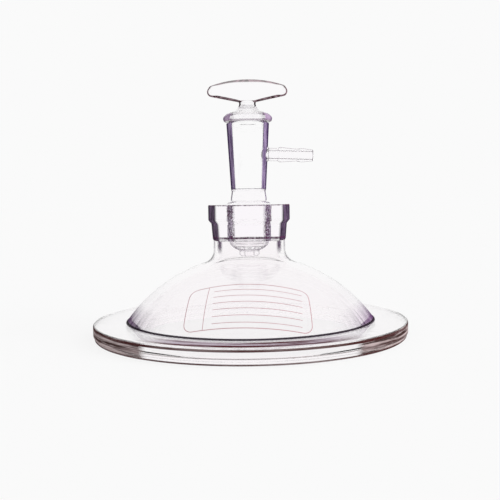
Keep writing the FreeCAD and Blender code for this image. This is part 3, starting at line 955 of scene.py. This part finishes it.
def glass(name, **own):
    """A finish of clear borosilicate glass: PLAIN_GLASS, changed by what is its own."""
    look = SimpleNamespace(**{**PLAIN_GLASS, **own})
    material, tree = new_material(name)
    spot = spot_on_glass(tree, look)
    share, speck = edge_share(tree, spot, look), streak_share(tree, spot, look)
    colour, bend = linear(look.dark), GLASS_IOR
    if look.grain:
        share = product(tree, share, least(tree, speck, look.grain[2]))
    if look.grain or look.limb:
        colour = blend(tree, speck, linear(look.pale or look.dark), colour)
    if look.lines or look.behind or look.bore_edge:
        drawn = drawn_share(tree, spot, look, speck)
        share = either(tree, share, drawn)
        colour = blend(tree, drawn, colour, linear(look.ink))
    if look.tapers:
        greased = either(tree, *[film(tree, spot, taper) for taper in look.tapers])
        bend = add(tree, "MapRange", {0: greased, 3: GLASS_IOR, 4: GREASED_IOR}).outputs[0]
        share = product(tree, share, rest_of(tree, greased))
    clear = add(tree, "BsdfPrincipled", {
        "Base Color": linear(look.tint),
        "Roughness": 0.0,
        "IOR": bend,
        "Transmission Weight": 1.0,
        "Normal": spot.waves,
    })
    shade = add(tree, "BsdfDiffuse", {"Color": colour})
    mixed = add(tree, "MixShader", {0: share, 1: clear.outputs[0], 2: shade.outputs[0]})
    add(tree, "OutputMaterial", {0: mixed.outputs[0]})
    return material


print("light leaves the glass up to", round(math.degrees(math.asin(1 / GLASS_IOR))), "degrees off square")

# %% Dressing a piece
def dress(piece, first, *others):
    """Gives a piece its first material, and each other material to the faces whose middle passes its test.
    A test gets the radius, x, y and height of every face's middle in millimetres, as arrays."""
    middles = np.empty(len(piece.data.polygons) * 3)
    piece.data.polygons.foreach_get("center", middles)
    x, y, height = (middles.reshape(-1, 3) / MM).T
    middle = SimpleNamespace(radius=np.hypot(x, y), x=x, y=y, height=height)
    piece.data.materials.clear()
    piece.data.materials.append(first)
    chosen = np.zeros(len(x), int)
    for number, (material, test) in enumerate(others, 1):
        piece.data.materials.append(material)
        chosen[test(middle)] = number
    piece.data.polygons.foreach_set("material_index", chosen)
    print(piece.name, "faces by material:", np.bincount(chosen).tolist())


print("pieces to dress:", lid_glass.name, valve_glass.name, plug_glass.name)

# %% [markdown]
# ## The lid's finishes
# The flange is pressed in a mould and ground. Where its rim is met at a slant it gets painted shade in
# brown streaks, and painted dark lines along its arrises. The dome is blown and nearly free of marks:
# only its foot gets painted shade, in fine plum streaks, and a dark line where it meets the flange. The
# socket is thick and ground inside; painted shade makes its two ends nearly black and gives it two
# mottled stripes where the edges of its bore show through the wall.

# %% The lid's finishes
LILAC_TINT = "#fefcfd"
NECK_FOOT = 53.0  # height at which the dome's flare becomes the neck
joint_taper = (LEDGE + 0.3, COLLAR_TOP - 0.5, JOINT_RADIUS - COLLAR_TOP / TAPER, 1 / TAPER)
neck_wall = (NECK_RADIUS - 1.0, NECK_RADIUS + 1.5)

# Glass pressed in a mould and ground at its rim: painted shade in short brown streaks where it is met at a
# slant, and painted dark lines at its arrises.
rim = glass(
    "pressed_rim", tint=LILAC_TINT, level=True, outside=(0.26, 0.32), strength=(0.0, 0.97),
    dark="#3c2826", pale="#b4a2a2", grain=(0.4, 1.5, 0.96), ink="#421c1c", broken=0.9,
    lines=[
        (RIM_HEIGHT - 1.9, RIM_HEIGHT - 0.7, RIM_RADIUS - 0.9, RIM_RADIUS, 0.99),
        (4.1, 4.5, RIM_RADIUS - 0.3, RIM_RADIUS, 0.6),
        (0.3, 1.1, RIM_RADIUS - 2.0, RIM_RADIUS, 0.95),
    ],
)
# The flange's top, fire-polished: clear, but for a painted maroon reflection band where the view grazes it.
top = glass(
    "polished_flange_top", tint=LILAC_TINT, level=True, flat=True, outside=(-0.3, 0.0, 0.12),
    strength=(0.0, 0.985), steep=(0.74, 0.76, 0.83), ring=(89.0, 100.5),
    dark="#502228", pale="#b6a6b6", grain=(0.6, 5.0, 0.85),
)
# The inside of the blown form, smooth from the flame: it stays clear.
inner = glass("inner_wall", tint=LILAC_TINT, strength=(0.0, 0.0))
# Blown glass: clear, with painted shade in long fine plum streaks gathered at its foot, darker at the limb,
# and a painted dark line where it meets the flange.
dome = glass(
    "blown_dome", tint=LILAC_TINT, level=True, outside=(0.24, 0.96), strength=(0.0, 0.97),
    fade=(12.5, 23.0, 1.0, 0.14), low=(0.03, 0.10),
    dark="#4e2858", pale="#b08cb4", grain=(0.03, 40.0, 0.6), limb=(0.7, 1.0), ink="#1e141e",
    lines=[(RIM_HEIGHT + 0.2, RIM_HEIGHT + 1.0, 80.0, 86.0, 0.97)],
)
# Glass fused in the flame: a thin painted plum line of shade down each side of the neck's bore, where the
# wall mirrors light inside.
neck = glass(
    "fused_neck", tint=LILAC_TINT, level=True, inside=(0.22, 0.28, 0.31), outside=(0.6, 1.0),
    strength=(0.95, 0.1), fade=(NECK_FOOT, 59.0, 0.0, 1.0), dark="#5c2068",
)
# Thick glass with a ground bore: painted shade makes its ends nearly black and its arrises dark lines, and
# gives a mottled stripe at each edge of the bore.
collar = glass(
    "thick_ground_socket", level=True, outside=(0.38, 0.48), strength=(0.0, 0.985), low=(0.35, 0.6),
    dark="#22142a", pale="#66506e", grain=(0.05, 12.0, 0.98), limb=(0.7, 0.85), tapers=[joint_taper],
    ink="#50143f", broken=0.45, bore_edge=(0.07, 0.09, 0.16, 0.88),
    lines=[
        (COLLAR_TOP - 0.6, COLLAR_TOP, COLLAR_RADIUS - 0.6, COLLAR_RADIUS, 0.85),
        (LEDGE + 1.1, LEDGE + 1.7, *neck_wall, 0.9),
        (LEDGE - 0.5, LEDGE, *neck_wall, 0.55),
    ],
    behind=[(LEDGE + 0.3, LEDGE + 1.7, *neck_wall, 1.0)],
)


def inside_lid(face):
    """The faces that the air under the lid touches: the mouth's wall and the inside of the dome."""
    under_dome = np.hypot(face.radius, face.height - cap_centre[1]) < CAP_RADIUS - 1.5
    return np.where(face.height < RIM_HEIGHT, face.radius < MOUTH_RADIUS + 3.5, under_dome)


dress(
    lid_glass, rim,
    (top, lambda face: (face.height > RIM_HEIGHT - 0.2) & (face.radius > MOUTH_RADIUS)),
    (dome, lambda face: face.height > RIM_HEIGHT + 0.01),
    (inner, inside_lid),
    (neck, lambda face: face.height > NECK_FOOT),
    (collar, lambda face: face.height > LEDGE - 0.7),
)

# %% [markdown]
# ## The valve's finishes
# The valve is lampworked from tube. Its barrel gets painted shade at its edges, plum in long streaks, its
# cone is ground and greased, and its nipple, drawn thin, gets only weak mauve painted shade at its edges.
# The bores stay clear.

# %% The valve's finishes
WHITE_TINT = "#ffffff"
TUBE_TOP = 96.5                 # where the tube opens into the barrel
GAS_WAY_REACH, NIPPLE_REACH = 3.2, 6.5
THIN_WALL = (0.22, 0.28, 0.38)  # band of 1 - cos in which a thin wall mirrors, seen from inside the glass
seat_taper = (PLUG_BASE + 0.2, BARREL_TOP - 0.2, SEAT_RADIUS - BARREL_TOP / TAPER, 1 / TAPER)
# A painted dark line of shade at the foot of the seat, where the plug's base ends.
base_line = (PLUG_BASE - 0.3, PLUG_BASE + 0.15, 8.5, 12.5, 0.4)

# Lampworked tube: painted shade at its edges, plum in long streaks, with none on the greased seat inside, and
# a painted dark line at the seat's foot.
barrel = glass(
    "lampworked_barrel", tint=WHITE_TINT, level=True, outside=(0.31, 0.36),
    dark="#38224c", pale="#ac98bc", grain=(0.06, 25.0, 1.0), limb=(0.55, 0.68),
    tapers=[seat_taper], lines=[base_line],
)
# The short tube, drawn in: darker painted shade at its edges, in shorter streaks.
tube = glass(
    "lampworked_tube", level=True, outside=(0.60, 0.70), strength=(0.05, 0.95),
    dark="#3c2448", pale="#806a90", grain=(0.2, 3.0, 0.7),
)
# Ground glass under grease: clear at the face, with grainy purple painted shade at the edges of the thick
# wall.
cone = glass(
    "ground_cone", level=True, inside=(0.2, 0.44), outside=(0.8, 0.95), fade=(60.0, 66.0, 0.3, 1.0),
    dark="#401058", pale="#c0a0cc", grain=(0.05, 1.3, 0.6), tapers=[joint_taper],
)
# The cone's shoulder, smooth from the flame: clear.
cone_top = glass("cone_shoulder", level=True, strength=(0.0, 0.0))
# Tube drawn thin: weak grey painted shade at its edges.
tip = glass("drawn_tip", dark="#6c5474", inside=THIN_WALL, outside=(0.5, 0.8), strength=(0.3, 0.5))
# The nipple, worked from thin tube: weak mauve painted shade at its edges.
arm = glass("lampworked_nipple", dark="#86647f", inside=THIN_WALL, outside=(0.60, 0.85), strength=(0.4, 0.62))
# The bored gas way: no more than a thin line of painted shade, seen from inside.
gas_way = glass("gas_way", dark="#7c5a76", inside=THIN_WALL, strength=(0.5, 0.0))
# The tube's own bore: clear.
bore = glass("tube_bore", strength=(0.0, 0.0))


def off_nipple_axis(face):
    """Distance from the nipple's axis."""
    axis = NIPPLE_HEIGHT - face.x * math.tan(math.radians(NIPPLE_DROOP))
    return np.hypot(face.y, face.height - axis)


def gas_bore(face):
    """The faces of the gas way through the walls."""
    return (face.x > GAS_START) & (off_nipple_axis(face) < GAS_WAY_REACH)


def nipple_faces(face):
    """The nipple's own faces, from where they leave the barrel's wall."""
    climb = (face.height - PLUG_BASE) / (BARREL_TOP - PLUG_BASE)
    wall = BARREL_FOOT_RADIUS + (BARREL_RADIUS - BARREL_FOOT_RADIUS) * climb
    return (face.x > GAS_START) & (face.radius > wall + 0.1) & (off_nipple_axis(face) < NIPPLE_REACH)


def tube_faces(face):
    """The short tube between the cone and the barrel, inside and out."""
    return (face.height > COLLAR_TOP) & (face.height < TUBE_TOP)


def shoulder_faces(face):
    """The step where the cone is drawn in to the tube."""
    return (face.height > COLLAR_TOP - 0.3) & (face.height < CONE_SHOULDER + 1.6) & (face.radius > 11.5)


dress(
    valve_glass, barrel,
    (tube, tube_faces),
    (bore, lambda face: tube_faces(face) & (face.radius < 11.0)),
    (cone, lambda face: face.height < COLLAR_TOP),
    (cone_top, shoulder_faces),
    (tip, lambda face: face.height < CONE_END),
    (arm, nipple_faces),
    (gas_way, gas_bore),
)

# %% [markdown]
# ## The plug's finishes
# The plug's cone is greased into the barrel, so it hardly shows. Above it the hollow shoulder gets soft
# mauve painted shade at its ends, and the solid stem and paddle get narrow maroon painted shade at their
# edges, strongest underneath.

# %% The plug's finishes
# Ground glass greased into its seat: nearly unseen, but for painted shade at its outline and a painted dark
# line at its foot.
plug = glass(
    "hollow_plug", tint=WHITE_TINT, level=True, outside=(0.8, 0.95), tapers=[seat_taper], lines=[base_line],
)
# The bulge blown above the ground part: soft mauve painted shade at its ends, and a painted dark line where
# it meets the cone.
shoulder = glass(
    "bulged_shoulder", level=True, outside=(0.28, 0.34), strength=(0.05, 0.96),
    dark="#4c3858", pale="#aa92b0", limb=(0.55, 0.95), ink="#6c5058",
    lines=[(SHOULDER_BASE, SHOULDER_BASE + 0.6, 12.5, SHOULDER_RADIUS, 0.45)],
)
# The top of the bulge, thin and smooth: clear.
crown = glass("shoulder_crown", level=True, strength=(0.0, 0.0))
# Solid rod, which bends light the most: narrow, nearly black painted shade at its edges.
stem = glass("solid_stem", level=True, dark="#2a1824", outside=(0.36, 0.44), strength=(0.0, 0.985))
# Rod pressed flat while soft: maroon painted shade at its edges in short streaks, strongest underneath.
paddle = glass(
    "pressed_paddle", outside=(0.22, 0.39), strength=(0.1, 0.98), fade=(160.0, 168.5, 1.0, 0.74),
    dark="#34000f", pale="#74344f", grain=(0.5, 3.0, 0.84),
)
dress(
    plug_glass, plug,
    (shoulder, lambda face: face.height > SHOULDER_BASE - 0.8),
    (crown, lambda face: (face.height > PLUG_ROOF) & (face.radius < 14.5)),
    (stem, lambda face: (face.height > STEM_DARK_FROM) & (face.radius < 9)),
    (paddle, lambda face: face.height > STEM_SEAM + 2.4),
    (gas_way, gas_bore),
)

# %% [markdown]
# ## Enamel
# Fired enamel is ground glass and pigment melted on: thin, even and half matt, so it needs no
# pattern, only its dusty rose and a soft gloss.

# %% Enamel
material, tree = new_material("fired_rose_enamel")
enamel = add(tree, "BsdfPrincipled", {"Base Color": linear("#b9888f"), "Roughness": 0.45})
add(tree, "OutputMaterial", {0: enamel.outputs[0]})
print_panel.data.materials.append(material)
print("enamel on", print_panel.name)

# %% [markdown]
# ## Table
# The lid stands on a seamless white table. The table is mostly drawn as plain white with a share of
# real white paint mixed in, so that a faint shadow is left.

# %% Table
TABLE_DROP = 0.3
TABLE_HALF = 6.0  # metres
PAINT_SHARE = 0.12
PAPER_WHITE = linear("#fafafa")

table_mesh = bpy.data.meshes.new("table")
around = ((-1, -1), (1, -1), (1, 1), (-1, 1))
corners = [(x * TABLE_HALF, y * TABLE_HALF, -TABLE_DROP * MM) for x, y in around]
table_mesh.from_pydata(corners, [], [(0, 1, 2, 3)])
table = bpy.data.objects.new("table", table_mesh)
bpy.context.scene.collection.objects.link(table)
material, tree = new_material("white_table")
shine = add(tree, "Emission", {"Color": PAPER_WHITE, "Strength": 1.0})
paint = add(tree, "BsdfDiffuse", {"Color": PAPER_WHITE})
surface = add(tree, "MixShader", {0: PAINT_SHARE, 1: shine.outputs[0], 2: paint.outputs[0]})
add(tree, "OutputMaterial", {0: surface.outputs[0]})
table_mesh.materials.append(material)
print("table", TABLE_DROP, "mm below the lid")

# %% [markdown]
# ## Room and lamp
# Seen directly, mirrored or through glass, the room is the same white as the table. What lights
# painted surfaces comes more from the right than from the left, so the dark edges on the left of
# the glass are the deeper ones. A broad sun lamp on the right gives the faint shadow. The lamp and
# the room together light a level white surface exactly to white.

# %% Room and lamp
KEY_WAY = np.array([0.85, -0.25, 0.45]) / np.linalg.norm([0.85, -0.25, 0.45])
KEY_SHARE = 0.2    # of the light on a level surface, the lamp's part
SIDE_SHARE = 0.45  # how much brighter the room is towards the lamp than across it
KEY_WIDTH = 40.0   # degrees
BOUNCES = 24       # through the three pieces, each with two walls on either side
MIRRORED = 12

world = bpy.data.worlds.new("studio")
bpy.context.scene.world = world
world.use_nodes = True
tree = world.node_tree
tree.nodes.clear()
path = add(tree, "LightPath")
seen = either(tree, *[path.outputs[f"Is {kind} Ray"] for kind in ("Camera", "Glossy", "Transmission")])
clear_path = add(tree, "Math", {0: path.outputs["Diffuse Depth"], 1: 0.5}, operation="LESS_THAN")
seen = product(tree, seen, clear_path.outputs[0])
way = add(tree, "TexCoord").outputs["Generated"]
side = add(tree, "VectorMath", {0: way, 1: tuple(KEY_WAY)}, operation="DOT_PRODUCT").outputs["Value"]
base = 1.0 - KEY_SHARE - SIDE_SHARE * KEY_WAY[2] * 2 / 3
amount = add(tree, "Math", {0: side, 1: SIDE_SHARE, 2: base}, operation="MULTIPLY_ADD").outputs[0]
white = add(tree, "Background", {"Color": PAPER_WHITE, "Strength": 1.0})
fill = add(tree, "Background", {"Color": (1.0, 1.0, 1.0, 1.0), "Strength": amount})
room = add(tree, "MixShader", {0: seen, 1: fill.outputs[0], 2: white.outputs[0]})
add(tree, "OutputWorld", {0: room.outputs[0]})

lamp = bpy.data.lights.new("soft_key", "SUN")
lamp.angle = math.radians(KEY_WIDTH)
lamp.energy = KEY_SHARE * math.pi / KEY_WAY[2]
stand = bpy.data.objects.new("soft_key", lamp)
bpy.context.scene.collection.objects.link(stand)
stand.rotation_euler = (math.acos(KEY_WAY[2]), 0, math.atan2(KEY_WAY[0], -KEY_WAY[1]))
stand.visible_transmission = False
stand.visible_glossy = False

scene = bpy.context.scene
scene.view_settings.view_transform = "Standard"
scene.cycles.max_bounces = BOUNCES
scene.cycles.transmission_bounces = BOUNCES
scene.cycles.glossy_bounces = MIRRORED
print("lamps:", [light.name for light in bpy.data.lights])
